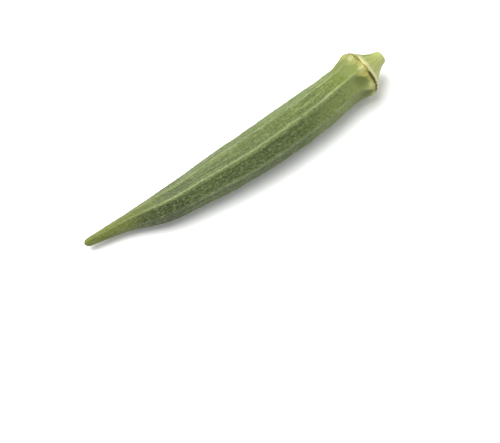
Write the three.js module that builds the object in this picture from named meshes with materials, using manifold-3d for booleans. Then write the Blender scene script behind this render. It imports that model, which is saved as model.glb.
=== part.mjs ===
// An okra pod lying on its side. It is one grown body: a blunt beak at -X, a long belly with
// eight ridges, a neck and a flared shoulder, the scar of the fallen calyx, and the cap that
// narrows to a cut stem stub at +X.
//
// Units are millimetres and +Z is up. The pod rests on the plane Z = 0, and the origin is the
// middle of its footprint. A station is a distance along X from the end of the beak.
import * as THREE from "three";
import { mergeVertices } from "three/addons/utils/BufferGeometryUtils.js";
import Module from "manifold-3d";

const wasm = await Module();
wasm.setup();

// Driving dimensions. Each radius of the body is measured on the crest of a ridge.
const LENGTH = 130; // from the beak to the cut stem, along X
const BEAK_LENGTH = 2.4; // the rounded tip
const BEAK_RADIUS = 1.6;
const BELLY_RADIUS = 8.45;
const NECK_RADIUS = 7.4;
const SHOULDER_RADIUS = 8.85;
const SCAR_RADIUS = 8.8;
const STUB_RADIUS = 2.6;

const BELLY_AT = 83;
const NECK_AT = 111.8;
const SHOULDER_AT = 118;
const SCAR_AT = 120.2;

const RIB_HEIGHT = 0.16; // the fine raised line along the crest of each ridge
const SCAR_WIDTH = 0.8;
const SCAR_DEPTH = 0.3; // the groove that the calyx leaves
const CUT_EDGE = 0.45; // the rounded rim of the cut stem
const PITH_RADIUS = 1.3; // the sunken middle of the cut
const PITH_DEPTH = 0.25;
const REST_CUT = 0.3; // how far the skin is pressed flat where the pod rests

// The ridges, as angles from +Y towards +Z. They stand unevenly, and the pod rests on two of them.
const RIDGE_DEGREES = [22, 66.5, 109, 157.5, 202, 247.5, 292.5, 339];

// How far the ridges wind round the pod, in degrees by station.
const WINDING = [
  [0, -9],
  [42, -3],
  [68, 1.5],
  [92, 0],
  [108, -3],
  [LENGTH, -3],
];

// The middle line at equal steps of the length: its bow along Y and its height along Z.
const SIDE_BOW = [0, -1.8, -5.1, -5.8, -6, -5.45, -4.1, -2, -0.5];
const AXIS_HEIGHT = [3.2, 3.95, 5.9, 6.8, 7.35, 7.66, 7.6, 7.8, 9.4];

// How flat the faces between the ridges are, by station: 0 is round, 1 is flat and more is hollow.
const FLATNESS = [
  [0, 0.1],
  [4, 0.5],
  [30, 0.85],
  [70, 0.95],
  [NECK_AT, 1.15],
  [SHOULDER_AT, 1.05],
  [SCAR_AT, 0.55],
  [SCAR_AT + 3, 0.6],
  [LENGTH - 2, 0.25],
  [LENGTH, 0.1],
];

// Facets.
const FACE_STEPS = 6; // from one ridge to the next
const BEAK_STEPS = 5;
const BODY_STEPS = 46;
const SHOULDER_STEPS = 6;
const CAP_STEPS = 8;

const SAME_POINT = 1e-4; // vertices closer than this are one

const xy = (radius, station) => new THREE.Vector2(radius, station);

// The outline of a ridge, from the end of the beak to the middle of the cut stem.
function ridgeOutline() {
  const beak = new THREE.EllipseCurve(
    0, BEAK_LENGTH, BEAK_RADIUS, BEAK_LENGTH, -Math.PI / 2, 0,
  );
  const body = new THREE.SplineCurve([
    xy(BEAK_RADIUS, BEAK_LENGTH),
    xy(2.15, 8),
    xy(2.95, 16),
    xy(4.5, 24),
    xy(5.85, 32),
    xy(6.8, 44),
    xy(7.75, 56),
    xy(8.2, 68),
    xy(BELLY_RADIUS, BELLY_AT),
    xy(8.27, 97),
    xy(7.75, 107),
    xy(NECK_RADIUS, NECK_AT),
    xy(8.1, 115),
    xy(SHOULDER_RADIUS, SHOULDER_AT),
  ]);
  const shoulder = new THREE.CubicBezierCurve(
    xy(SHOULDER_RADIUS, SHOULDER_AT),
    xy(SHOULDER_RADIUS + 0.15, SHOULDER_AT + 0.9),
    xy(SCAR_RADIUS + 0.35, SCAR_AT - 0.5),
    xy(SCAR_RADIUS, SCAR_AT),
  );
  const scar = [
    xy(SCAR_RADIUS - SCAR_DEPTH, SCAR_AT + 0.25 * SCAR_WIDTH),
    xy(SCAR_RADIUS - 1.7 * SCAR_DEPTH, SCAR_AT + 0.7 * SCAR_WIDTH),
  ];
  const capAt = SCAR_AT + SCAR_WIDTH;
  const cap = new THREE.CubicBezierCurve(
    xy(SCAR_RADIUS - 0.2, capAt),
    xy(SCAR_RADIUS - 1.6, capAt + 1.3),
    xy(STUB_RADIUS + 0.9, capAt + 4.2),
    xy(STUB_RADIUS + 0.1, LENGTH - CUT_EDGE),
  );
  const cut = [
    xy(STUB_RADIUS - 0.25 * CUT_EDGE, LENGTH - 0.25 * CUT_EDGE),
    xy(STUB_RADIUS - CUT_EDGE, LENGTH),
    xy(PITH_RADIUS, LENGTH),
    xy(PITH_RADIUS - PITH_DEPTH, LENGTH - PITH_DEPTH),
    xy(0, LENGTH - PITH_DEPTH),
  ];
  return [
    ...beak.getPoints(BEAK_STEPS),
    ...body.getSpacedPoints(BODY_STEPS).slice(1),
    ...shoulder.getPoints(SHOULDER_STEPS).slice(1),
    ...scar,
    ...cap.getPoints(CAP_STEPS),
    ...cut,
  ];
}

// A value read from [station, value] pairs, eased from each pair to the next.
function eased(pairs, station) {
  const next = pairs.findIndex(([at]) => at > station);
  if (next < 0) return pairs[pairs.length - 1][1];
  if (next === 0) return pairs[0][1];
  const [fromAt, from] = pairs[next - 1];
  const [toAt, to] = pairs[next];
  return from + (to - from) * THREE.MathUtils.smoothstep(station, fromAt, toAt);
}

// The middle line. Its points are equally spaced along X, so its parameter is station / LENGTH.
const middleLine = new THREE.CatmullRomCurve3(
  SIDE_BOW.map(
    (bow, i) => new THREE.Vector3((i * LENGTH) / (SIDE_BOW.length - 1), bow, AXIS_HEIGHT[i]),
  ),
  false,
  "catmullrom",
);

// The angle round the pod and the share of the ridge radius, at one of the facet steps round it.
function facet(step, station) {
  const ridges = RIDGE_DEGREES.length;
  const ridge = Math.floor(step / FACE_STEPS);
  const across = (step % FACE_STEPS) / FACE_STEPS;
  const from = RIDGE_DEGREES[ridge];
  const to = ridge + 1 < ridges ? RIDGE_DEGREES[ridge + 1] : RIDGE_DEGREES[0] + 360;
  const faceAngle = THREE.MathUtils.degToRad(to - from);
  const flat = Math.cos(faceAngle / 2) / Math.cos((across - 0.5) * faceAngle);
  const share = 1 + eased(FLATNESS, station) * (flat - 1);

  const degrees = from + (to - from) * across + eased(WINDING, station);
  return { angle: THREE.MathUtils.degToRad(degrees), share, onCrest: across === 0 };
}

// The point on the skin at a facet step and a station, where the crests of the ridges reach radius.
function onSkin(step, station, radius) {
  const { angle, share, onCrest } = facet(step, station);
  const ribbed = onCrest && station < SHOULDER_AT;
  const rib = ribbed ? RIB_HEIGHT * Math.min(1, radius / NECK_RADIUS) : 0;
  const reach = radius * share + rib;

  const centre = middleLine.getPoint(station / LENGTH);
  const along = middleLine.getTangent(station / LENGTH);
  const side = new THREE.Vector3(-along.y, along.x, 0).normalize();
  const up = new THREE.Vector3().crossVectors(along, side);
  return centre
    .addScaledVector(side, reach * Math.cos(angle))
    .addScaledVector(up, reach * Math.sin(angle));
}

// A turned blank of the outline, with each vertex then moved to the ridged and bowed skin.
function podBlank() {
  const steps = RIDGE_DEGREES.length * FACE_STEPS;
  const blank = new THREE.LatheGeometry(ridgeOutline(), steps);
  const position = blank.getAttribute("position");
  for (let i = 0; i < position.count; i++) {
    const radius = Math.hypot(position.getX(i), position.getZ(i));
    const turn = Math.atan2(position.getX(i), position.getZ(i)) / (2 * Math.PI);
    const step = Math.round(turn * steps + steps) % steps;
    const { x, y, z } = onSkin(step, position.getY(i), radius);
    position.setXYZ(i, x, y, z);
  }
  return blank;
}

// Centres the pod over the origin, with its underside REST_CUT below Z = 0.
function setDown(geometry) {
  geometry.computeBoundingBox();
  const { min, max } = geometry.boundingBox;
  return geometry.translate(-(min.x + max.x) / 2, -(min.y + max.y) / 2, -min.z - REST_CUT);
}

// A closed geometry as a manifold solid.
function asSolid(geometry) {
  const bare = geometry.clone();
  bare.deleteAttribute("normal");
  bare.deleteAttribute("uv");
  const merged = mergeVertices(bare, SAME_POINT);
  const vertProperties = new Float32Array(merged.getAttribute("position").array);
  const triVerts = new Uint32Array(merged.index.array);
  return new wasm.Manifold(new wasm.Mesh({ numProp: 3, vertProperties, triVerts }));
}

// A manifold solid as a geometry.
function asGeometry(solid) {
  const { vertProperties, triVerts } = solid.getMesh();
  const geometry = new THREE.BufferGeometry();
  geometry.setAttribute("position", new THREE.BufferAttribute(vertProperties, 3));
  geometry.setIndex(new THREE.BufferAttribute(triVerts, 1));
  geometry.computeVertexNormals();
  return geometry;
}

// The pod with the skin that it rests on pressed flat at Z = 0.
function pod() {
  const aboveRest = new THREE.BoxGeometry(2 * LENGTH, LENGTH, LENGTH);
  aboveRest.translate(0, 0, LENGTH / 2);
  return asGeometry(asSolid(setDown(podBlank())).intersect(asSolid(aboveRest)));
}

const podSkin = new THREE.MeshStandardMaterial({ color: 0x84945f, roughness: 0.6, metalness: 0 });

const okraPod = new THREE.Mesh(pod(), podSkin);
okraPod.name = "okra_pod";

const okra = new THREE.Group();
okra.add(okraPod);

export default okra;
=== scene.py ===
"""An okra pod as picked, lying on its side in soft studio light.

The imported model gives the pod's place and size. This script replaces its plain body with a finely
ridged and veined skin, a coat of short hairs, a corky scar ring, a pale cap and a cut stem.

Sizes are in millimetres until a mesh is finished, and every finished mesh is in metres. A station
is a distance along the pod from the end of the beak, and a turn is a share of the way round it.
"""

import logging
import math
from dataclasses import dataclass, field
from enum import IntEnum
from typing import Any

import bmesh
import bpy
import numpy as np
from mathutils import Matrix, Vector

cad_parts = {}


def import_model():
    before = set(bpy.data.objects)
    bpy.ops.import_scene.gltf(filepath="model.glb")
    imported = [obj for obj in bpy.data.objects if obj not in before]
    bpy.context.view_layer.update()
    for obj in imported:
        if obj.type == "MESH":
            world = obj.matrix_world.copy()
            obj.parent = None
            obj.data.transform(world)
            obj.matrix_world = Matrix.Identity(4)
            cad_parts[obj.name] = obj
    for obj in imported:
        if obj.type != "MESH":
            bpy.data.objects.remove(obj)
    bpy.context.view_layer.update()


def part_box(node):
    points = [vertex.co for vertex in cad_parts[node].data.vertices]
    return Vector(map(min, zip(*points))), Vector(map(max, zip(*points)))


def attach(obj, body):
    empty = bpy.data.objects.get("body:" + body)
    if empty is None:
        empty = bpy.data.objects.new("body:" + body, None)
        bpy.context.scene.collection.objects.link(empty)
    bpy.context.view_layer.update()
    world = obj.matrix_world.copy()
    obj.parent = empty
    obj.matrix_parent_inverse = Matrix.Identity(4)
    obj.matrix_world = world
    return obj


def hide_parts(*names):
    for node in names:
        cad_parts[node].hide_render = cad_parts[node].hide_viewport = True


log = logging.getLogger("okra")

MM = 0.001  # one millimetre in metres
BODY = "root"
NODE = "okra_pod"

Points = np.ndarray
Pairs = tuple[tuple[float, float], ...]
Socket = bpy.types.NodeSocket


class Zone(IntEnum):
    """The material slots of the skin mesh."""

    SKIN = 0
    CUT = 1


def srgb(code: str) -> tuple[float, float, float, float]:
    """Turn an sRGB hex colour into a linear one.

    Args:
        code: Six hex digits after a hash sign.

    Returns:
        Linear red, green and blue, and an alpha of 1.
    """
    parts = [int(code[i : i + 2], 16) / 255 for i in (1, 3, 5)]
    linear = [c / 12.92 if c <= 0.04045 else ((c + 0.055) / 1.055) ** 2.4 for c in parts]
    return (*linear, 1.0)


def smooth(value: Points, start: float, end: float) -> Points:
    """Ease from 0 at start to 1 at end, which may lie on either side of it."""
    share = np.clip((value - start) / (end - start), 0, 1)
    return share * share * (3 - 2 * share)


def eased(pairs: Pairs, station: Points) -> Points:
    """Read a value that changes along the pod.

    Args:
        pairs: Stations and values. The value is eased from each pair to the next.
        station: Where it is read.

    Returns:
        The value at each station.
    """
    value = np.full_like(station, pairs[0][1], dtype=float)
    for (from_at, from_value), (to_at, to_value) in zip(pairs, pairs[1:]):
        value += (to_value - from_value) * smooth(station, from_at, to_at)
    return value


def bump(value: Points, middle: float, width: float) -> Points:
    """A soft hump of height 1 at middle."""
    return np.exp(-(((value - middle) / width) ** 2))


def flowing_curve(points: Points, steps: int) -> Points:
    """Run a smooth curve through the points.

    Args:
        points: The points it passes through, one a row.
        steps: Samples from one point to the next.

    Returns:
        The samples, one a row.
    """
    ends = np.vstack([2 * points[0] - points[1], points, 2 * points[-1] - points[-2]])
    t = np.linspace(0, 1, steps, endpoint=False)[:, None]
    spans = []
    for a, b, c, d in zip(ends, ends[1:], ends[2:], ends[3:]):
        spans.append(
            0.5 * (2 * b + (c - a) * t + (2 * a - 5 * b + 4 * c - d) * t**2)
            + 0.5 * (3 * b - a - 3 * c + d) * t**3
        )
    return np.vstack([*spans, points[-1:]])


def bezier(points: list[tuple[float, float]], steps: int) -> Points:
    """Sample a cubic Bezier curve.

    Args:
        points: Its four control points.
        steps: How many steps it is cut into.

    Returns:
        The samples, one a row, both ends included.
    """
    t = np.linspace(0, 1, steps + 1)[:, None]
    a, b, c, d = np.array(points)
    return (1 - t) ** 3 * a + 3 * (1 - t) ** 2 * t * b + 3 * (1 - t) * t**2 * c + t**3 * d


def evenly(line: Points, steps: int) -> Points:
    """Resample a polyline at equal distances along it.

    Args:
        line: Its points, one a row.
        steps: How many steps it is cut into.

    Returns:
        The new points, one a row, both ends included.
    """
    walked = np.concatenate([[0], np.cumsum(np.linalg.norm(np.diff(line, axis=0), axis=1))])
    at = np.linspace(0, walked[-1], steps + 1)
    return np.column_stack([np.interp(at, walked, line[:, i]) for i in range(line.shape[1])])


def unit(vectors: Points) -> Points:
    """Scale vectors, one a row, to a length of 1."""
    return vectors / np.linalg.norm(vectors, axis=1)[:, None]


def read_vertices(mesh: bpy.types.Mesh) -> Points:
    """Read a mesh's vertices.

    Args:
        mesh: The mesh.

    Returns:
        The vertices, one a row, in the mesh's own unit.
    """
    co = np.zeros(len(mesh.vertices) * 3, np.float32)
    mesh.vertices.foreach_get("co", co)
    return co.reshape(-1, 3).astype(float)


def place_vertices(mesh: bpy.types.Mesh, placed: Points) -> None:
    """Move a mesh's vertices to their places, given in millimetres."""
    mesh.vertices.foreach_set("co", (placed * MM).astype(np.float32).ravel())
    mesh.update()


def add_piece(mesh: bpy.types.Mesh) -> bpy.types.Object:
    """Put a finished mesh into the scene.

    Args:
        mesh: The mesh, in its place.

    Returns:
        The piece, with the mesh's name.
    """
    piece = bpy.data.objects.new(mesh.name, mesh)
    bpy.context.scene.collection.objects.link(piece)
    return piece


@dataclass(frozen=True)
class Ripples:
    """An uneven field on the skin that closes on itself round the pod."""

    seed: int
    lobes: tuple[int, int]  # the fewest and the most waves round the pod, the last left out
    pitch: tuple[float, float]  # the shortest and the longest wave along it
    waves: int = 24  # how many waves are added up

    def at(self, station: Points, turn: Points) -> Points:
        """Read the field.

        Args:
            station: Stations in millimetres.
            turn: Shares of the way round.

        Returns:
            Values of about -1 to 1.
        """
        rng = np.random.default_rng(self.seed)
        total = np.zeros_like(station, dtype=float)
        for _ in range(self.waves):
            around = rng.integers(*self.lobes) * turn
            along = rng.choice([-1, 1]) * station / rng.uniform(*self.pitch)
            total += np.cos(2 * np.pi * (around + along + rng.random()))
        return total / math.sqrt(2 * self.waves)


@dataclass
class PodForm:
    """The grown shape of the pod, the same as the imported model's with its fine relief added."""

    length: float = 130.0
    beak_length: float = 2.4
    beak_radius: float = 1.6
    belly_radius: float = 8.45
    neck_radius: float = 7.4
    shoulder_radius: float = 8.85
    scar_radius: float = 8.8
    stub_radius: float = 2.6

    belly_at: float = 83.0
    neck_at: float = 111.8
    shoulder_at: float = 118.0
    scar_at: float = 120.2
    scar_width: float = 0.8
    scar_depth: float = 0.3
    cut_edge: float = 1.1
    pith_radius: float = 1.3
    pith_depth: float = 0.2
    rest_cut: float = 0.3

    ridge_degrees: tuple[float, ...] = (22, 66.5, 109, 157.5, 202, 247.5, 292.5, 339)
    side_bow: tuple[float, ...] = (0, -1.8, -5.1, -5.8, -6, -5.45, -4.1, -2.0, -0.5)
    axis_height: tuple[float, ...] = (3.2, 3.95, 5.9, 6.8, 7.35, 7.66, 7.6, 7.8, 9.4)

    rib_height: float = 0.17  # the raised line along each crest
    rib_width: float = 0.27
    crest_round: float = 0.36  # how softly one face turns into the next
    knob_height: float = 0.05  # the beads that a rib is broken into
    vein_height: float = 0.03  # the line along the middle of each face
    vein_width: float = 0.26
    fibre_height: float = 0.025
    pucker_height: float = 0.02
    dent_depth: float = 0.14
    knuckle_height: float = 0.26  # where a ridge swells before the scar
    knuckle_length: float = 1.9
    knuckle_width: float = 1.4
    hollow_depth: float = 0.24  # between two knuckles
    hollow_length: float = 3.4
    hollow_width: float = 1.8
    cork_height: float = 0.12  # lumps on both lips of the scar
    groove_depth: float = 0.1  # how much deeper the scar's groove runs than its outline
    cap_rib_height: float = 0.09
    cap_pucker_height: float = 0.03

    wear: Ripples = Ripples(3, (1, 9), (5, 30))  # of the ribs
    beads: Ripples = Ripples(4, (1, 60), (1.3, 4))
    vein_breaks: Ripples = Ripples(5, (1, 7), (14, 50))
    fibres: Ripples = Ripples(7, (40, 130), (60, 240), waves=40)
    fibre_patches: Ripples = Ripples(8, (1, 12), (5, 20))
    puckers: Ripples = Ripples(9, (8, 60), (1.4, 6), waves=60)
    dents: Ripples = Ripples(11, (2, 9), (9, 32))
    cork: Ripples = Ripples(13, (10, 40), (1.2, 5))
    groove: Ripples = Ripples(17, (1, 5), (9, 30))
    cap_puckers: Ripples = Ripples(19, (6, 22), (3, 14))

    beak_steps: int = 12  # how many steps the outline takes along each part
    body_steps: int = 214
    shoulder_steps: int = 14
    scar_steps: int = 8
    cap_steps: int = 34
    cut_steps: int = 9

    flatness: Pairs = field(init=False)
    winding: Pairs = field(init=False)

    def __post_init__(self) -> None:
        """Set what changes by station.

        The flatness of the faces is 0 for round, 1 for flat and more for hollow. The winding is
        how far the ridges are turned, in degrees.
        """
        self.winding = ((0, -9), (42, -3), (68, 1.5), (92, 0), (108, -3), (self.length, -3))
        self.flatness = (
            (0, 0.1),
            (4, 0.5),
            (30, 0.85),
            (70, 0.95),
            (self.neck_at, 1.15),
            (self.shoulder_at, 1.05),
            (self.scar_at, 0.55),
            (self.scar_at + 3, 0.6),
            (self.length - 2, 0.25),
            (self.length, 0.1),
        )

    def flank(self) -> Points:
        """Draw the outline of a ridge, from the end of the beak to the rim of the cut stem.

        Returns:
            Rows of station and radius.
        """
        quarter = np.linspace(0, math.pi / 2, self.beak_steps + 1)
        beak = np.column_stack(
            [self.beak_length * (1 - np.cos(quarter)), self.beak_radius * np.sin(quarter)]
        )
        knots = [
            (self.beak_length, self.beak_radius),
            (8, 2.15),
            (16, 2.95),
            (24, 4.5),
            (32, 5.85),
            (44, 6.8),
            (56, 7.75),
            (68, 8.2),
            (self.belly_at, self.belly_radius),
            (97, 8.27),
            (107, 7.75),
            (self.neck_at, self.neck_radius),
            (115, 8.1),
            (self.shoulder_at, self.shoulder_radius),
        ]
        body = evenly(flowing_curve(np.array(knots), 24), self.body_steps)
        shoulder = bezier(
            [
                (self.shoulder_at, self.shoulder_radius),
                (self.shoulder_at + 0.9, self.shoulder_radius + 0.15),
                (self.scar_at - 0.5, self.scar_radius + 0.35),
                (self.scar_at, self.scar_radius),
            ],
            self.shoulder_steps,
        )
        cap_at = self.scar_at + self.scar_width
        scar = bezier(
            [
                (self.scar_at, self.scar_radius),
                (self.scar_at + 0.05, self.scar_radius - 1.6 * self.scar_depth),
                (self.scar_at + 0.5, self.scar_radius - 1.9 * self.scar_depth),
                (cap_at, self.scar_radius - 0.2),
            ],
            self.scar_steps,
        )
        cap = bezier(
            [
                (cap_at, self.scar_radius - 0.2),
                (cap_at + 1.3, self.scar_radius - 1.6),
                (cap_at + 4.2, self.stub_radius + 0.9),
                (self.length - self.cut_edge, self.stub_radius + 0.1),
            ],
            self.cap_steps,
        )
        rim = np.column_stack(
            [
                self.length - self.cut_edge * (1 - np.sin(quarter[::3])),
                self.stub_radius + 0.1 - self.cut_edge * (1 - np.cos(quarter[::3])),
            ]
        )
        return np.vstack([beak, body[1:], shoulder[1:], scar[1:], cap[1:], rim[1:]])

    def outline(self) -> Points:
        """Draw the whole outline, on to the middle of the cut stem.

        Returns:
            Rows of station and radius.
        """
        flank = self.flank()
        radius = np.linspace(flank[-1, 1], 0, self.cut_steps + 1)[1:]
        sunk = self.pith_depth * smooth(radius, self.pith_radius, 0.7 * self.pith_radius)
        return np.vstack([flank, np.column_stack([self.length - sunk, radius])])

    def on_cut(self, station: Points, radius: Points) -> Points:
        """Tell which points of the outline lie on the cut face, its rim included."""
        return (station > self.length - 2 * self.pith_depth) & (radius < self.flank()[-1, 1] + 0.01)

    def crest_radius(self, station: Points) -> Points:
        """Give the radius of the ridges at a station."""
        flank = self.flank()
        return np.interp(station, flank[:, 0], flank[:, 1])

    def across(self, turn: Points) -> tuple[Points, Points, Points]:
        """Find where a turn falls between two ridges.

        Args:
            turn: Shares of the way round, with the ridges at equal steps.

        Returns:
            The share of the way across the face, the face's angle, and the angle round the pod,
            both angles in radians.
        """
        ridges = np.radians([*self.ridge_degrees, self.ridge_degrees[0] + 360])
        count = len(self.ridge_degrees)
        whole = np.floor(turn * count + 1e-6)
        index = whole.astype(int) % count
        share = np.clip(turn * count - whole, 0, 1)
        # The facets crowd towards the crests, where the fine lines of the ribs need them.
        share = share - 0.5 * np.sin(2 * np.pi * share) / (2 * np.pi)
        width = ridges[index + 1] - ridges[index]
        return share, width, ridges[index] + width * share

    def relief(self, station: Points, turn: Points, radius: Points) -> tuple[Points, ...]:
        """Work out the skin's reach from the middle line.

        Args:
            station: Stations in millimetres.
            turn: Shares of the way round.
            radius: The ridges' radius at each station.

        Returns:
            The reach, the distance from the nearest crest and the distance from the middle of
            the face, all in millimetres.
        """
        share, width, _ = self.across(turn)
        crest = np.minimum(share, 1 - share) * width * radius
        vein = np.abs(share - 0.5) * width * radius
        size = np.clip(radius / self.belly_radius, 0, 1)

        flat = np.cos(width / 2) / np.cos((share - 0.5) * width)
        flatness = eased(self.flatness, station)
        reach = radius * (1 + flatness * (flat - 1))
        softened = np.sqrt(crest**2 + (self.crest_round * size) ** 2) - crest
        reach -= np.tan(width / 2) * flatness * softened

        reach += size * self._lines(station, turn, crest, vein)
        reach += self._shoulder(station, crest, vein) + self._scar(station, turn)
        reach += self._cap(station, turn, share, radius)
        return reach, crest, vein

    def _lines(self, station: Points, turn: Points, crest: Points, vein: Points) -> Points:
        """Raise the ribs, veins and fibres of the body, and dent its faces.

        Args:
            station: Stations in millimetres.
            turn: Shares of the way round.
            crest: Distances from the nearest crest.
            vein: Distances from the middle of the face.

        Returns:
            The height that they add.
        """
        on_body = smooth(station, self.scar_at - 0.2, self.scar_at - 1.4)
        worn = self.rib_height * (0.8 + 0.3 * self.wear.at(station, turn))
        beaded = self.knob_height * self.beads.at(station, turn)
        rib = (worn + beaded) * bump(crest, 0, self.rib_width)
        faint = smooth(self.vein_breaks.at(station, turn), -0.7, 0.5)
        line = self.vein_height * faint * bump(vein, 0, self.vein_width)
        dent = self.dent_depth * self.dents.at(station, turn)
        fibre = self.fibre_height * self.fibres.at(station, turn)
        fibre *= 0.7 + 0.6 * self.fibre_patches.at(station, turn)
        pucker = self.pucker_height * self.puckers.at(station, turn)
        return (rib + line + dent + pucker) * on_body + fibre

    def _shoulder(self, station: Points, crest: Points, vein: Points) -> Points:
        """Swell the ridges into knuckles before the scar, with hollows between them.

        Args:
            station: Stations in millimetres.
            crest: Distances from the nearest crest.
            vein: Distances from the middle of the face.

        Returns:
            The height that they add.
        """
        knuckle = bump(station, self.shoulder_at + 0.3, self.knuckle_length)
        knuckle *= bump(crest, 0, self.knuckle_width)
        hollow = bump(station, self.shoulder_at - 1.2, self.hollow_length)
        hollow *= bump(vein, 0, self.hollow_width)
        return self.knuckle_height * knuckle - self.hollow_depth * hollow

    def _scar(self, station: Points, turn: Points) -> Points:
        """Roughen both lips of the scar with cork and let its groove run uneven.

        Args:
            station: Stations in millimetres.
            turn: Shares of the way round.

        Returns:
            The height that they add.
        """
        lumps = self.cork_height * self.cork.at(station, turn)
        deep = self.groove_depth * (1 + self.groove.at(station, turn))
        return (lumps - deep) * bump(station, self.scar_at + 0.3, self.scar_width)

    def _cap(self, station: Points, turn: Points, share: Points, radius: Points) -> Points:
        """Flute the cap softly down to the stub.

        Args:
            station: Stations in millimetres.
            turn: Shares of the way round.
            share: Shares of the way across the face.
            radius: The ridges' radius at each station.

        Returns:
            The height that the flutes add, two to each face.
        """
        on_cap = smooth(station, self.scar_at + 0.8, self.scar_at + 2.5)
        on_cap = np.where(self.on_cut(station, radius), 0, on_cap)
        fluted = self.cap_rib_height * smooth(station, self.length, self.length - 8)
        fluted = fluted * np.cos(4 * np.pi * share)
        return on_cap * (fluted + self.cap_pucker_height * self.cap_puckers.at(station, turn))

    def middle_line(self, station: Points) -> tuple[Points, Points]:
        """Find the points and the directions of the bowed middle line.

        Args:
            station: Stations in millimetres.

        Returns:
            The points and the unit tangents, one a row.
        """
        along = np.linspace(0, self.length, len(self.side_bow))
        knots = np.column_stack([along, self.side_bow, self.axis_height])
        line = flowing_curve(knots, 60)
        slope = unit(np.gradient(line, line[:, 0], axis=0))
        pick = [np.interp(station, line[:, 0], line[:, i]) for i in range(3)]
        turned = [np.interp(station, line[:, 0], slope[:, i]) for i in range(3)]
        return np.column_stack(pick), np.column_stack(turned)

    def bend(self, station: Points, turn: Points, reach: Points) -> tuple[Points, Points, Points]:
        """Carry points of the straight pod to the bowed one.

        Args:
            station: Stations in millimetres.
            turn: Shares of the way round.
            reach: Distances from the middle line.

        Returns:
            The points, the directions straight out of the pod and those along it, one a row.
        """
        centre, along = self.middle_line(station)
        side = unit(np.column_stack([-along[:, 1], along[:, 0], np.zeros(len(station))]))
        up = np.cross(along, side)
        angle = self.across(turn)[2] + np.radians(eased(self.winding, station))
        out = side * np.cos(angle)[:, None] + up * np.sin(angle)[:, None]
        return centre + out * reach[:, None], out, along


@dataclass(frozen=True)
class Fade:
    """A mask that eases from 0 where its value is start to most where it is end."""

    value: Socket
    start: float
    end: float
    most: float = 1.0


class Nodes:
    """A node tree that is being put together."""

    def __init__(self, tree: bpy.types.NodeTree) -> None:
        """Empty the tree."""
        self.tree = tree
        self.tree.nodes.clear()

    def add(
        self,
        kind: str,
        inputs: dict[str | int, Any] | None = None,
        out: str | int = 0,
        **settings: Any,
    ) -> Socket | None:
        """Add a node.

        Args:
            kind: The node's type, without its ShaderNode prefix.
            inputs: Its inputs by identifier or number, each a value or an output to link.
            out: The output to hand back, by identifier or number, if it has any.
            **settings: The node's own settings.

        Returns:
            The asked output, to link further.
        """
        node = self.tree.nodes.new("ShaderNode" + kind)
        for name, value in settings.items():
            setattr(node, name, value)
        for key, value in (inputs or {}).items():
            by_name = {s.identifier: s for s in node.inputs}
            socket = node.inputs[key] if isinstance(key, int) else by_name[key]
            if isinstance(value, Socket):
                self.tree.links.new(value, socket)
            else:
                socket.default_value = value
        if isinstance(out, int):
            return node.outputs[out] if len(node.outputs) else None
        return {s.identifier: s for s in node.outputs}[out]


class Finish(Nodes):
    """A node material that is being put together."""

    def __init__(self, name: str) -> None:
        """Start an empty material.

        Args:
            name: Its name, for what the real substance is.
        """
        self.material = bpy.data.materials.new(name)
        self.material.use_nodes = True
        super().__init__(self.material.node_tree)

    def lay(self, under: Socket | str, over: Socket | str, *fades: Fade) -> Socket:
        """Lay a colour over another where every fade, of one or more, lets it.

        Args:
            under: The lower colour, as an output or a hex code.
            over: The upper colour.
            *fades: Masks that are multiplied together.

        Returns:
            The mixed colour.
        """
        mask = None
        for fade in fades:
            rising = fade.start < fade.end
            shown = self.add(
                "MapRange",
                {
                    "Value": fade.value,
                    "From Min": min(fade.start, fade.end),
                    "From Max": max(fade.start, fade.end),
                    "To Min": 0.0 if rising else fade.most,
                    "To Max": fade.most if rising else 0.0,
                },
                interpolation_type="SMOOTHSTEP",
            )
            if mask is not None:
                shown = self.add("Math", {0: mask, 1: shown}, operation="MULTIPLY")
            mask = shown
        low, high = (c if isinstance(c, Socket) else srgb(c) for c in (under, over))
        mixed = {"Factor_Float": mask, "A_Color": low, "B_Color": high}
        return self.add("Mix", mixed, "Result_Color", data_type="RGBA")

    def grain(self, place: Socket, length: float, width: float, detail: float = 2.0) -> Socket:
        """Draw soft noise stretched along the pod.

        Args:
            place: Places on the straight pod, in millimetres.
            length: The grain's length along the pod, in millimetres.
            width: Its width across the pod, in millimetres.
            detail: Finer octaves.

        Returns:
            The noise, mostly 0.3 to 0.7.
        """
        stretch = (1 / length, 1 / width, 1 / width)
        squeezed = self.add("Mapping", {"Vector": place, "Scale": stretch})
        return self.add("TexNoise", {"Vector": squeezed, "Scale": 1.0, "Detail": detail})

    def dots(self, place: Socket, length: float, width: float) -> Socket:
        """Scatter dots over the pod.

        Args:
            place: Places on the straight pod, in millimetres.
            length: The spacing of the dots along the pod, in millimetres.
            width: Their spacing across the pod, in millimetres.

        Returns:
            The distance from the middle of the nearest dot, as a share of the spacing.
        """
        stretch = (1 / length, 1 / width, 1 / width)
        squeezed = self.add("Mapping", {"Vector": place, "Scale": stretch})
        return self.add("TexVoronoi", {"Vector": squeezed, "Scale": 1.0}, "Distance")


@dataclass(frozen=True)
class Places:
    """What the skin's mesh tells its material about each point, in millimetres, as node outputs."""

    grown: Socket  # its place on the straight pod
    station: Socket
    side: Socket  # how far towards +Y it grew
    crest: Socket  # its distance from the nearest crest
    vein: Socket  # its distance from the middle of the face
    past: Socket  # 1 on the half of a face past its first crest, and 0 on the other


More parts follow.
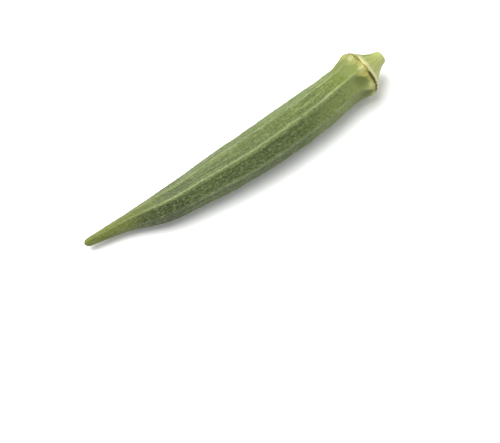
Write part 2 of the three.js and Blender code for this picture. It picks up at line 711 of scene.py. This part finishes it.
@dataclass(frozen=True)
class OkraSkin:
    """Living okra skin: a thin waxy cuticle over soft green flesh, with pale ribs and fine fuzz.

    It is only half glossy, so broad light turns it pale, and its colour runs from yellow-green at
    the beak over olive green to a cream scar and a pale cap.
    """

    deep: str = "#485723"
    leaf: str = "#54632a"
    bloom: str = "#5a6a34"
    shaded: str = "#3b4721"
    thin: str = "#323f19"
    streak_pale: str = "#747f41"
    streak_dark: str = "#3d491f"
    rib: str = "#8c9a66"
    rib_neck: str = "#bdc78e"
    rib_shaded: str = "#78845a"
    beak: str = "#5f6612"
    beak_shaded: str = "#1c270a"
    shoulder: str = "#6a762a"
    shoulder_shaded: str = "#747f48"
    shoulder_back_painted_shade: str = "#556023"
    hollow: str = "#525c2c"
    wedge: str = "#868b45"
    wedge_shaded: str = "#aba65a"
    knuckle: str = "#c6c485"
    rim: str = "#8e8e48"
    ochre: str = "#857e3c"
    tan: str = "#9e9453"
    cork: str = "#443d17"
    cream: str = "#c4c187"
    cap: str = "#8f9850"
    cap_green: str = "#7b8640"
    cap_pale: str = "#a3aa66"
    cap_back_painted_shade: str = "#5c6632"
    stub: str = "#a8ad6d"
    speck_dark: str = "#323e1a"
    speck_pale: str = "#a3ae80"
    style: str = "#4f4320"

    def material(self, form: PodForm) -> bpy.types.Material:
        """Build the skin's material.

        Args:
            form: The pod, for the stations where its colours change.

        Returns:
            The material.
        """
        f = Finish("okra_skin")
        grown = f.add("Attribute", out="Vector", attribute_name="grown")
        on = Places(
            grown=grown,
            station=f.add("SeparateXYZ", {"Vector": grown}, "X"),
            side=f.add("SeparateXYZ", {"Vector": grown}, "Y"),
            crest=f.add("Attribute", out="Fac", attribute_name="crest"),
            vein=f.add("Attribute", out="Fac", attribute_name="vein"),
            past=f.add("Attribute", out="Fac", attribute_name="past"),
        )
        colour = self._flesh(f, on)
        colour = self._ribs(f, on, colour)
        colour = self._beak(f, on, colour)
        colour = self._shoulder(f, on, colour)
        colour = self._specks(f, on, colour, form)
        colour = self._cap(f, on, colour, form)
        colour = self._scar(f, on, colour, form)

        # The finest grains are several times as coarse as real skin cells, so that they show.
        fibres = f.grain(grown, 9.0, 0.4)
        puckers = f.grain(grown, 0.9, 0.5, 3.0)
        wax = f.grain(grown, 9.0, 2.0)
        deep = 0.05 * MM
        fine = f.add("Bump", {"Strength": 0.5, "Distance": deep, "Height": fibres})
        coarse = {"Strength": 0.7, "Distance": deep, "Height": puckers, "Normal": fine}
        normal = f.add("Bump", coarse)
        rough = f.add("MapRange", {"Value": wax, "To Min": 0.4, "To Max": 0.64})
        shader = f.add(
            "BsdfPrincipled",
            {
                "Base Color": colour,
                "Roughness": rough,
                "IOR": 1.4,
                "Specular IOR Level": 0.35,
                "Normal": normal,
                "Subsurface Weight": 0.1,
                "Subsurface Radius": (0.5, 0.8, 0.25),
                "Subsurface Scale": 1.2 * MM,
            },
        )
        f.add("OutputMaterial", {"Surface": shader})
        return f.material

    def _flesh(self, f: Finish, on: Places) -> Socket:
        """Paint the green of the belly with its streaks, and painted shade on its lower side.

        Args:
            f: The finish.
            on: The places on the skin.

        Returns:
            The colour.
        """
        clouds = Fade(f.grain(on.grown, 26.0, 6.0), 0.32, 0.66)
        haze = Fade(f.grain(on.grown, 50.0, 2.6), 0.4, 0.7, 0.7)
        colour = f.lay(self.deep, self.leaf, clouds)
        colour = f.lay(colour, self.bloom, haze)
        colour = f.lay(colour, self.thin, Fade(on.station, 82.0, 34.0, 0.9))
        # Painted shade: the lower side is darkened, fading out towards the neck.
        painted_shade = Fade(on.side, -2.2, -4.2, 0.85), Fade(on.station, 106.0, 66.0)
        colour = f.lay(colour, self.shaded, *painted_shade)

        # The streaks are fainter on the lower side, where shade is painted, and the dark ones on
        # the neck.
        off_neck = Fade(on.station, 124.0, 88.0)
        calmer = Fade(on.side, -10.0, -0.6)
        smoother = Fade(on.side, -6.5, -1.5)
        broad_dark = Fade(f.grain(on.grown, 30.0, 1.0, 3.0), 0.5, 0.32, 0.8)
        broad_pale = Fade(f.grain(on.grown, 24.0, 0.9, 3.0), 0.5, 0.68, 0.7)
        short_dark = Fade(f.grain(on.grown, 8.0, 0.45), 0.48, 0.3, 0.55)
        short_pale = Fade(f.grain(on.grown, 7.0, 0.4), 0.52, 0.7, 0.5)
        colour = f.lay(colour, self.streak_dark, broad_dark, off_neck, calmer)
        colour = f.lay(colour, self.streak_pale, broad_pale, calmer)
        colour = f.lay(colour, self.streak_dark, short_dark, off_neck, smoother)
        colour = f.lay(colour, self.streak_pale, short_pale, smoother)

        near_beak = Fade(on.station, 62.0, 40.0)
        long_dark = Fade(f.grain(on.grown, 50.0, 2.4), 0.52, 0.42)
        long_pale = Fade(f.grain(on.grown, 44.0, 2.0), 0.52, 0.64, 0.5)
        colour = f.lay(colour, self.streak_dark, long_dark, near_beak)
        return f.lay(colour, self.streak_pale, long_pale, near_beak)

    def _ribs(self, f: Finish, on: Places, colour: Socket) -> Socket:
        """Draw the pale ribs along the crests and the faint veins between them.

        Args:
            f: The finish.
            on: The places on the skin.
            colour: The colour below.

        Returns:
            The colour.
        """
        sheen = Fade(on.crest, 1.7, 0.2, 0.2), Fade(on.station, 24.0, 60.0)
        colour = f.lay(colour, self.streak_pale, *sheen)
        rib = f.lay(self.rib, self.rib_neck, Fade(on.station, 92.0, 108.0))
        # On the lower side the ribs take a shaded copy of their colour, as painted shade.
        rib = f.lay(rib, self.rib_shaded, Fade(on.side, -3.4, -5.0))
        before_knuckle = Fade(on.station, 117.6, 115.6)
        on_front = Fade(on.side, 2.6, 0.6)
        soft = Fade(on.crest, 1.3, 0.2, 0.4), Fade(on.station, 10.0, 40.0), on_front
        colour = f.lay(colour, rib, *soft, before_knuckle)
        worn = Fade(f.grain(on.grown, 5.0, 1.2, 3.0), 0.28, 0.54)
        colour = f.lay(colour, rib, Fade(on.crest, 0.6, 0.1, 0.36), worn, before_knuckle)
        broken = Fade(f.grain(on.grown, 16.0, 5.0), 0.46, 0.62, 0.4)
        return f.lay(colour, self.streak_pale, Fade(on.vein, 0.36, 0.1), broken)

    def _beak(self, f: Finish, on: Places, colour: Socket) -> Socket:
        """Yellow the beak, paint shade on its lower side behind the tip, and brown the dried end of
        the style.

        Args:
            f: The finish.
            on: The places on the skin.
            colour: The colour below.

        Returns:
            The colour.
        """
        colour = f.lay(colour, self.beak, Fade(on.station, 42.0, 5.0, 0.85))
        # Painted shade darkens the lower side behind the tip.
        behind_tip = Fade(on.station, 15.0, 24.0), Fade(on.station, 46.0, 31.0)
        colour = f.lay(colour, self.beak_shaded, *behind_tip, Fade(on.side, -2.4, -4.4, 0.75))
        dried = Fade(on.station, 0.3, 0.08), Fade(f.grain(on.grown, 0.5, 0.5), 0.2, 0.5)
        return f.lay(colour, self.style, *dried)

    def _shoulder(self, f: Finish, on: Places, colour: Socket) -> Socket:
        """Pale the neck and shoulder, turn the ends of the ridges tan and cream, and paint shade on
        the lower side, in the hollows and at the back.

        Args:
            f: The finish.
            on: The places on the skin.
            colour: The colour below.

        Returns:
            The colour.
        """
        colour = f.lay(colour, self.shoulder, Fade(on.station, 96.0, 118.0, 0.85))
        # The lower side takes a shaded copy of the shoulder green, as painted shade.
        lower_side = Fade(on.side, -2.2, -3.2)
        colour = f.lay(colour, self.shoulder_shaded, Fade(on.station, 84.0, 115.0, 0.9), lower_side)
        # Painted shade darkens the hollows between the knuckles on the lower side.
        in_hollow = Fade(on.station, 112.0, 115.6), Fade(on.station, 120.0, 117.4)
        colour = f.lay(colour, self.hollow, *in_hollow, Fade(on.vein, 3.6, 1.2, 0.78), lower_side)
        # Painted shade darkens the back of the shoulder.
        on_back = Fade(on.side, 0.0, 6.0)
        colour = f.lay(colour, self.shoulder_back_painted_shade, Fade(on.station, 108.0, 117.0, 0.45), on_back)

        # The tan wedge at the end of each ridge opens by this much for each millimetre past the
        # station where it begins, all on one side of the ridge.
        opening = 0.95
        begins_at = 114.6
        narrowed = {0: on.station, 1: -opening, 2: on.crest}
        beside = f.add("Math", narrowed, operation="MULTIPLY_ADD")
        edge = -opening * begins_at
        in_wedge = Fade(beside, edge + 0.5, edge - 0.5, 0.85), Fade(on.past, 0.2, 0.8)
        # The wedge is painted in a lit copy above and a shaded copy on the lower side.
        tan = f.lay(self.wedge, self.wedge_shaded, lower_side)
        colour = f.lay(colour, tan, *in_wedge, Fade(on.station, 113.4, 118.4))

        # The knuckles' cream is partly their own colour and partly a painted highlight, fading out
        # towards the back.
        on_knuckle = Fade(on.crest, 1.9, 0.5, 0.9), Fade(on.station, 116.5, 119.5)
        colour = f.lay(colour, self.knuckle, *on_knuckle, Fade(on.side, 7.5, 3.0))
        scratches = Fade(f.grain(on.grown, 3.0, 0.3, 1.0), 0.58, 0.7, 0.6)
        return f.lay(colour, self.ochre, scratches, Fade(on.station, 115.0, 119.0))

    def _specks(self, f: Finish, on: Places, colour: Socket, form: PodForm) -> Socket:
        """Mottle the skin and scatter the dark and pale specks at the feet of the hairs.

        Args:
            f: The finish.
            on: The places on the skin.
            colour: The colour below.
            form: The pod.

        Returns:
            The colour.
        """
        on_body = Fade(on.station, form.scar_at - 1.0, form.scar_at - 16.0)
        mottle = f.grain(on.grown, 1.2, 0.7, 3.0)
        colour = f.lay(colour, self.speck_dark, Fade(mottle, 0.5, 0.3, 0.6), on_body)

        on_lower = Fade(on.side, -2.0, -4.0), Fade(on.station, 108.0, 78.0)
        fine_dark = Fade(f.grain(on.grown, 0.75, 0.6), 0.5, 0.34, 0.5)
        fine_pale = Fade(f.grain(on.grown, 1.0, 0.8), 0.52, 0.68, 0.45)
        patches = Fade(f.grain(on.grown, 1.9, 1.5), 0.5, 0.34, 0.35)
        colour = f.lay(colour, self.speck_dark, fine_dark, *on_lower)
        # The pale mottle here takes the ribs' colour for painted shade.
        colour = f.lay(colour, self.rib_shaded, fine_pale, *on_lower)
        colour = f.lay(colour, self.speck_dark, patches, *on_lower)

        # These specks are a little coarser than real ones, so that they show.
        tufts = Fade(f.grain(on.grown, 1.2, 0.8), 0.44, 0.66)
        tuft_hairs = Fade(f.dots(on.grown, 0.34, 0.18), 0.55, 0.25, 0.5)
        feet = Fade(f.dots(on.grown, 0.5, 0.34), 0.3, 0.12, 0.35)
        pits = Fade(f.dots(on.grown, 0.5, 0.3), 0.42, 0.18, 0.5)
        colour = f.lay(colour, self.speck_pale, tufts, tuft_hairs, on_body)
        colour = f.lay(colour, self.speck_pale, feet, on_body)
        return f.lay(colour, self.speck_dark, pits, Fade(mottle, 0.56, 0.42), on_body)

    def _cap(self, f: Finish, on: Places, colour: Socket, form: PodForm) -> Socket:
        """Paint the mottled cap, with painted shade on its back, and the paler stub.

        Args:
            f: The finish.
            on: The places on the skin.
            colour: The colour below.
            form: The pod.

        Returns:
            The colour.
        """
        green = Fade(f.grain(on.grown, 1.6, 2.4, 3.0), 0.42, 0.64, 0.8)
        pale = Fade(f.grain(on.grown, 1.3, 1.5), 0.5, 0.7, 0.8)
        cap = f.lay(self.cap, self.cap_green, green)
        cap = f.lay(cap, self.cap_pale, pale)
        cap = f.lay(cap, self.cap_pale, Fade(on.side, 1.0, -5.0, 0.7))
        # Painted shade darkens the back of the cap.
        cap = f.lay(cap, self.cap_back_painted_shade, Fade(on.side, 1.0, 5.6, 0.65))
        cap = f.lay(cap, self.stub, Fade(on.station, form.length - 5.0, form.length - 0.5, 0.7))
        cap_at = form.scar_at + form.scar_width
        return f.lay(colour, cap, Fade(on.station, cap_at - 0.4, cap_at - 0.2))

    def _scar(self, f: Finish, on: Places, colour: Socket, form: PodForm) -> Socket:
        """Paint the yellow rim, the brown cork lines and the cream band round the scar, with
        painted shadow in its groove on the lower side.

        Args:
            f: The finish.
            on: The places on the skin.
            colour: The colour below.
            form: The pod.

        Returns:
            The colour.
        """
        ahead = {0: f.grain(on.grown, 5.0, 1.8), 1: 1.0, 2: on.station}
        wander = f.add("Math", ahead, operation="MULTIPLY_ADD")
        shift = 0.5  # the wandering station runs this far ahead of the true one on average
        at = form.scar_at + shift

        blotchy = Fade(f.grain(on.grown, 1.0, 1.0, 3.0), 0.36, 0.6, 0.9)
        before = Fade(wander, at - 2.4, at - 1.0), Fade(wander, at - 0.2, at - 0.5)
        colour = f.lay(colour, self.rim, *before, blotchy)
        after = Fade(wander, at + 0.5, at + 0.7), Fade(wander, at + 2.8, at + 1.2, 0.9)
        colour = f.lay(colour, self.cream, *after, Fade(on.side, 6.6, -1.0))

        to_back = Fade(on.side, -1.5, 2.0)
        band = Fade(wander, at - 0.6, at - 0.4), Fade(wander, at + 0.7, at + 0.5)
        colour = f.lay(colour, self.tan, *band)
        colour = f.lay(colour, self.ochre, *band, to_back)
        first = Fade(wander, at - 0.75, at - 0.62), Fade(wander, at - 0.35, at - 0.5)
        first_breaks = Fade(f.grain(on.grown, 2.0, 1.6), 0.36, 0.56, 0.6)
        colour = f.lay(colour, self.cork, *first, first_breaks, to_back)
        second = Fade(wander, at + 0.12, at + 0.32), Fade(wander, at + 0.72, at + 0.55)
        second_breaks = Fade(f.grain(on.grown, 2.0, 2.2), 0.4, 0.62, 0.6)
        colour = f.lay(colour, self.cork, *second, second_breaks)
        # On the lower side the cork lines merge into one thick dark line, partly cork and partly
        # painted shadow in the groove.
        thick = Fade(wander, at - 0.75, at - 0.45), Fade(wander, at + 0.75, at + 0.5)
        return f.lay(colour, self.cork, *thick, Fade(on.side, -3.4, -5.6, 0.9))


@dataclass(frozen=True)
class CutStem:
    """Freshly cut stem: wet pale wood fibre round a soft pith, drying brown at the rim."""

    fibre: str = "#b0b37a"
    pith: str = "#cfcda4"
    dry: str = "#8c8448"

    def material(self, form: PodForm) -> bpy.types.Material:
        """Build the cut face's material.

        Args:
            form: The pod, for the stem's radius.

        Returns:
            The material.
        """
        f = Finish("cut_stem")
        grown = f.add("Attribute", out="Vector", attribute_name="grown")
        flat = f.add("VectorMath", {0: grown, 1: (0.0, 1.0, 1.0)}, operation="MULTIPLY")
        radius = f.add("VectorMath", {0: flat}, "Value", operation="LENGTH")
        cells = f.grain(grown, 0.3, 0.3)  # coarser than real fibre ends, so that they show
        rim = form.stub_radius - form.cut_edge
        round_pith = Fade(radius, form.pith_radius - 0.4, form.pith_radius)
        colour = f.lay(self.pith, self.fibre, round_pith)
        colour = f.lay(colour, self.dry, Fade(radius, rim - 0.3, rim + 0.1, 0.6))
        colour = f.lay(colour, self.dry, Fade(cells, 0.5, 0.7, 0.5))
        normal = f.add("Bump", {"Strength": 0.8, "Distance": 0.1 * MM, "Height": cells})
        shader = f.add(
            "BsdfPrincipled",
            {
                "Base Color": colour,
                "Roughness": 0.6,
                "Normal": normal,
                "Subsurface Weight": 0.1,
                "Subsurface Radius": (1.0, 0.9, 0.5),
                "Subsurface Scale": 1.0 * MM,
            },
        )
        f.add("OutputMaterial", {"Surface": shader})
        return f.material


@dataclass(frozen=True)
class PlantHair:
    """The pod's stiff hairs: dry, nearly colourless cellulose that catches the light."""

    dry: str = "#a9b186"
    fresh: str = "#6f7d48"

    def material(self) -> bpy.types.Material:
        """Build the hairs' material.

        Returns:
            The material.
        """
        f = Finish("plant_hair")
        place = f.add("TexCoord", out="Object")
        uneven = f.add("TexNoise", {"Vector": place, "Scale": 1 / (5 * MM)})
        colour = f.lay(self.dry, self.fresh, Fade(uneven, 0.35, 0.65))
        glint = {"Base Color": colour, "Roughness": 0.5, "Sheen Weight": 0.2}
        shader = f.add("BsdfPrincipled", glint)
        f.add("OutputMaterial", {"Surface": shader})
        return f.material


@dataclass(frozen=True)
class StudioPaper:
    """Matt white background paper, lit until it burns out to white away from the pod."""

    tint: str = "#f7f7f5"

    def material(self) -> bpy.types.Material:
        """Build the floor's material.

        Returns:
            The material.
        """
        f = Finish("studio_paper")
        place = f.add("TexCoord", out="Object")
        # The paper's tooth is drawn at 0.8 mm, coarser than the real one, so that it shows.
        tooth = f.add("TexNoise", {"Vector": place, "Scale": 1 / (0.8 * MM)})
        normal = f.add("Bump", {"Strength": 0.05, "Distance": 0.05 * MM, "Height": tooth})
        dull = {"Base Color": srgb(self.tint), "Roughness": 0.9, "Normal": normal}
        shader = f.add("BsdfPrincipled", dull)
        f.add("OutputMaterial", {"Surface": shader})
        return f.material


@dataclass
class PodSkin:
    """The whole outside of the pod, from the beak to the cut stem, as one closed skin."""

    form: PodForm
    facets: int = 320  # round the pod, a multiple of the number of ridges
    move: Points = field(init=False)  # from the straight pod's place to its seat

    def build(self) -> bpy.types.Object:
        """Spin the outline, then move every vertex out to the ridged and bowed skin.

        Returns:
            The finished piece.
        """
        mesh = self._spun()
        blank = read_vertices(mesh)
        station = blank[:, 0]
        radius = np.hypot(blank[:, 1], blank[:, 2])
        turn = (np.arctan2(blank[:, 2], blank[:, 1]) / (2 * np.pi)) % 1.0
        turn = np.round(turn * self.facets) % self.facets / self.facets
        reach, crest, vein = self.form.relief(station, turn, radius)
        reach = np.where(radius < 1e-6, 0, reach)
        placed = self.form.bend(station, turn, reach)[0]
        self.move = self._seat(placed)
        placed += self.move
        placed[:, 2] = np.maximum(placed[:, 2], 0)
        place_vertices(mesh, placed)

        # Away from the cut face, patterns run on a tube of the belly's radius, so that the fibres
        # close up towards both ends of the pod as they do when it grows.
        cut = self.form.on_cut(station, radius)
        share, _, angle = self.form.across(turn)
        spread = np.where(cut, radius, self.form.belly_radius)
        grown = np.column_stack([station, spread * np.cos(angle), spread * np.sin(angle)])
        self._write(mesh, "grown", "FLOAT_VECTOR", "vector", grown)
        self._write(mesh, "crest", "FLOAT", "value", crest)
        self._write(mesh, "vein", "FLOAT", "value", vein)
        self._write(mesh, "past", "FLOAT", "value", share < 0.5)

        mesh.materials.append(OkraSkin().material(self.form))
        mesh.materials.append(CutStem().material(self.form))
        for face in mesh.polygons:
            face.material_index = Zone.CUT if all(cut[v] for v in face.vertices) else Zone.SKIN
        return add_piece(mesh)

    def _spun(self) -> bpy.types.Mesh:
        """Spin the outline of a ridge into a round closed blank along X.

        Returns:
            The blank, in millimetres.
        """
        bm = bmesh.new()
        line = [bm.verts.new((station, radius, 0)) for station, radius in self.form.outline()]
        edges = [bm.edges.new(pair) for pair in zip(line, line[1:])]
        bmesh.ops.spin(
            bm,
            geom=line + edges,
            cent=(0, 0, 0),
            axis=(1, 0, 0),
            angle=2 * math.pi,
            steps=self.facets,
            use_merge=True,
        )
        bmesh.ops.remove_doubles(bm, verts=bm.verts, dist=1e-5)
        bmesh.ops.recalc_face_normals(bm, faces=bm.faces)
        for face in bm.faces:
            face.smooth = True
        mesh = bpy.data.meshes.new("okra_pod_skin")
        bm.to_mesh(mesh)
        bm.free()
        return mesh

    def _seat(self, placed: Points) -> Points:
        """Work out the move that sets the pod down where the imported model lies.

        Args:
            placed: The skin's points before the move.

        Returns:
            The move.
        """
        low, high = (np.array(corner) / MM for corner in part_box(NODE))
        move = (low + high) / 2 - (placed.min(0) + placed.max(0)) / 2
        move[2] = low[2] - self.form.rest_cut - placed[:, 2].min()
        return move

    @staticmethod
    def _write(mesh: bpy.types.Mesh, name: str, kind: str, key: str, values: Points) -> None:
        """Store a value for each vertex, for the material to read."""
        layer = mesh.attributes.new(name, kind, "POINT")
        layer.data.foreach_set(key, values.astype(np.float32).ravel())


@dataclass
class Fuzz:
    """The coat of short stiff hairs, thickest along the crests.

    The hairs are a little thicker than real ones, so that they show.
    """

    form: PodForm
    move: Points  # the skin's move from the straight pod's place to its seat
    doublings: int = 15  # the hairs are two to this power
    shortest: float = 0.15
    longest: float = 0.42
    thickness: float = 0.04
    sunk: float = 0.05
    lean: float = 0.6  # how far the hairs lean over, against standing straight out
    least_rise: float = 0.3  # how far the flattest of them still stands out
    off_crest: float = 0.35  # how thickly they grow away from the crests, against on them
    crest_width: float = 0.8
    clear: float = 0.6  # no hair grows lower than this, so that none reaches the surface below
    first_at: float = 2.5  # the station where the hairs begin
    before_scar: float = 0.6  # and how far before the scar they end
    seed: int = 23

    def build(self) -> bpy.types.Object:
        """Grow the hairs.

        Returns:
            The finished piece.
        """
        count = 2**self.doublings
        mesh = self._hairs()
        shape = read_vertices(mesh).reshape(count, -1, 3)
        root, out, along = self._roots(count)
        rng = np.random.default_rng(self.seed + 1)
        aim = out + rng.normal(0, self.lean, (count, 3))
        aim += np.maximum(0, self.least_rise - (aim * out).sum(1))[:, None] * out
        aim = unit(aim)
        side = unit(np.cross(aim, along))
        other = np.cross(aim, side)
        tall = self.shortest + (self.longest - self.shortest) * rng.beta(2, 3, count)
        x, y, z = (shape[:, :, i, None] for i in range(3))
        placed = (
            root[:, None, :]
            + x * self.thickness * side[:, None, :]
            + y * self.thickness * other[:, None, :]
            + (z * (tall[:, None, None] + self.sunk) - self.sunk) * aim[:, None, :]
        )
        place_vertices(mesh, placed)
        mesh.materials.append(PlantHair().material())
        return add_piece(mesh)

    def _hairs(self) -> bpy.types.Mesh:
        """Make one hair of unit size, then double it over and over.

        Nothing is merged away, so that the vertices of each hair stay together in the mesh.

        Returns:
            All the hairs, on top of each other.
        """
        bm = bmesh.new()
        for third in range(3):
            angle = third * 2 * math.pi / 3
            bm.verts.new((0.5 * math.cos(angle), 0.5 * math.sin(angle), 0))
        bm.verts.new((0, 0, 1))
        bmesh.ops.convex_hull(bm, input=bm.verts)
        bmesh.ops.recalc_face_normals(bm, faces=bm.faces)
        for _ in range(self.doublings):
            bmesh.ops.duplicate(bm, geom=bm.verts[:] + bm.edges[:] + bm.faces[:])
        mesh = bpy.data.meshes.new("okra_pod_fuzz")
        bm.to_mesh(mesh)
        bm.free()
        return mesh

    def _roots(self, count: int) -> tuple[Points, Points, Points]:
        """Pick where the hairs grow.

        Args:
            count: How many hairs.

        Returns:
            The roots, the directions straight out of the pod and those along it, one a row.
        """
        rng = np.random.default_rng(self.seed)
        tries = 4 * count  # enough, because over a third of them are good
        station = rng.uniform(self.first_at, self.form.scar_at - self.before_scar, tries)
        radius = self.form.crest_radius(station)
        turn = rng.random(tries)
        reach, crest, _ = self.form.relief(station, turn, radius)
        root, out, along = self.form.bend(station, turn, reach)
        root += self.move
        keen = self.off_crest + (1 - self.off_crest) * bump(crest, 0, self.crest_width)
        chance = keen * radius / self.form.belly_radius
        good = (rng.random(tries) < chance) & (root[:, 2] > self.clear)
        kept = np.flatnonzero(good)[:count]
        if len(kept) < count:
            raise ValueError(f"only {len(kept)} places for {count} hairs")
        return root[kept], out[kept], along[kept]


@dataclass
class Studio:
    """The paper floor, the soft lights and the camera."""

    azimuth: float = -35.1  # degrees, where 0 looks along +Y
    elevation: float = 62.0
    focal: float = 180.0
    sensor: float = 36.0
    picture_width: int = 500
    picture_height: int = 443
    pod_pixel: tuple[float, float] = (240.5, 151.6)  # where the pod's middle stands
    pixels_per_mm: float = 2.79  # at the pod
    nearest: float = 10.0  # the camera sees nothing closer to it
    floor_width: float = 6000.0
    floor_gap: float = 0.02  # the floor lies this far under the pod, so the two don't flicker
    surround_strength: float = 0.7
    key_toward: tuple[float, float, float] = (-0.25, 0.42, 0.9)  # from the pod to the softbox
    key_away: float = 1000.0
    key_width: float = 900.0
    key_power: float = 17.5  # in watts

    def build(self) -> None:
        """Set up the floor, the lights, the surroundings and the camera."""
        self._floor()
        self._surroundings()
        self._key_light()
        self._camera()

    def _floor(self) -> None:
        """Lay the paper."""
        bm = bmesh.new()
        bmesh.ops.create_grid(bm, x_segments=1, y_segments=1, size=self.floor_width / 2 * MM)
        bmesh.ops.translate(bm, verts=bm.verts, vec=(0, 0, -self.floor_gap * MM))
        mesh = bpy.data.meshes.new("floor")
        bm.to_mesh(mesh)
        bm.free()
        mesh.materials.append(StudioPaper().material())
        add_piece(mesh)

    def _surroundings(self) -> None:
        """Surround the set with dim even light that looks white behind it."""
        world = bpy.data.worlds.new("surroundings")
        bpy.context.scene.world = world
        world.use_nodes = True
        sky = Nodes(world.node_tree)
        seen = sky.add("LightPath", out="Is Camera Ray")
        dim = {"Color": srgb("#fbfcff"), "Strength": self.surround_strength}
        light = sky.add("Background", dim)
        white = sky.add("Background", {"Color": srgb("#ffffff")})
        mixed = sky.add("MixShader", {0: seen, 1: light, 2: white})
        sky.add("OutputWorld", {"Surface": mixed})

    def _key_light(self) -> None:
        """Hang the square softbox, facing the pod."""
        light = bpy.data.lights.new("key", "AREA")
        light.shape = "SQUARE"
        light.size = self.key_width * MM
        light.energy = self.key_power
        lamp = bpy.data.objects.new("key", light)
        direction = Vector(self.key_toward).normalized()
        facing = direction.to_track_quat("Z", "Y").to_matrix().to_4x4()
        lamp.matrix_world = Matrix.Translation(direction * self.key_away * MM) @ facing
        bpy.context.scene.collection.objects.link(lamp)

    def _camera(self) -> None:
        """Stand the camera so that the pod fills its place in the picture."""
        turn, lift = math.radians(self.azimuth), math.radians(self.elevation)
        level = math.cos(lift)
        back = Vector((math.sin(turn) * level, -math.cos(turn) * level, math.sin(lift)))
        right = Vector((math.cos(turn), math.sin(turn), 0))
        up = back.cross(right)
        low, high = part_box(NODE)
        aim = (low + high) / 2
        aside = (self.picture_width / 2 - self.pod_pixel[0]) / self.pixels_per_mm
        below = (self.picture_height / 2 - self.pod_pixel[1]) / self.pixels_per_mm
        aim += (right * aside - up * below) * MM
        away = self.focal / self.sensor * self.picture_width / self.pixels_per_mm * MM
        camera = bpy.data.cameras.new("camera")
        camera.lens = self.focal
        camera.sensor_width = self.sensor
        camera.clip_start = self.nearest * MM
        stand = bpy.data.objects.new("camera", camera)
        turned = Matrix((right, up, back)).transposed().to_4x4()
        stand.matrix_world = Matrix.Translation(aim + back * away) @ turned
        bpy.context.scene.collection.objects.link(stand)
        bpy.context.scene.camera = stand


def main() -> None:
    """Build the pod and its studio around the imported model."""
    logging.basicConfig(level=logging.INFO, format="%(message)s")
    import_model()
    bpy.context.scene.view_settings.view_transform = "Standard"
    Studio().build()

    form = PodForm()
    coat = PodSkin(form)
    skin = coat.build()
    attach(skin, BODY)
    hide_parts(NODE)
    log.info("%s: %d faces", skin.name, len(skin.data.polygons))

    fuzz = Fuzz(form, coat.move).build()
    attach(fuzz, BODY)
    log.info("%s: %d faces", fuzz.name, len(fuzz.data.polygons))


if __name__ == "__main__":
    main()
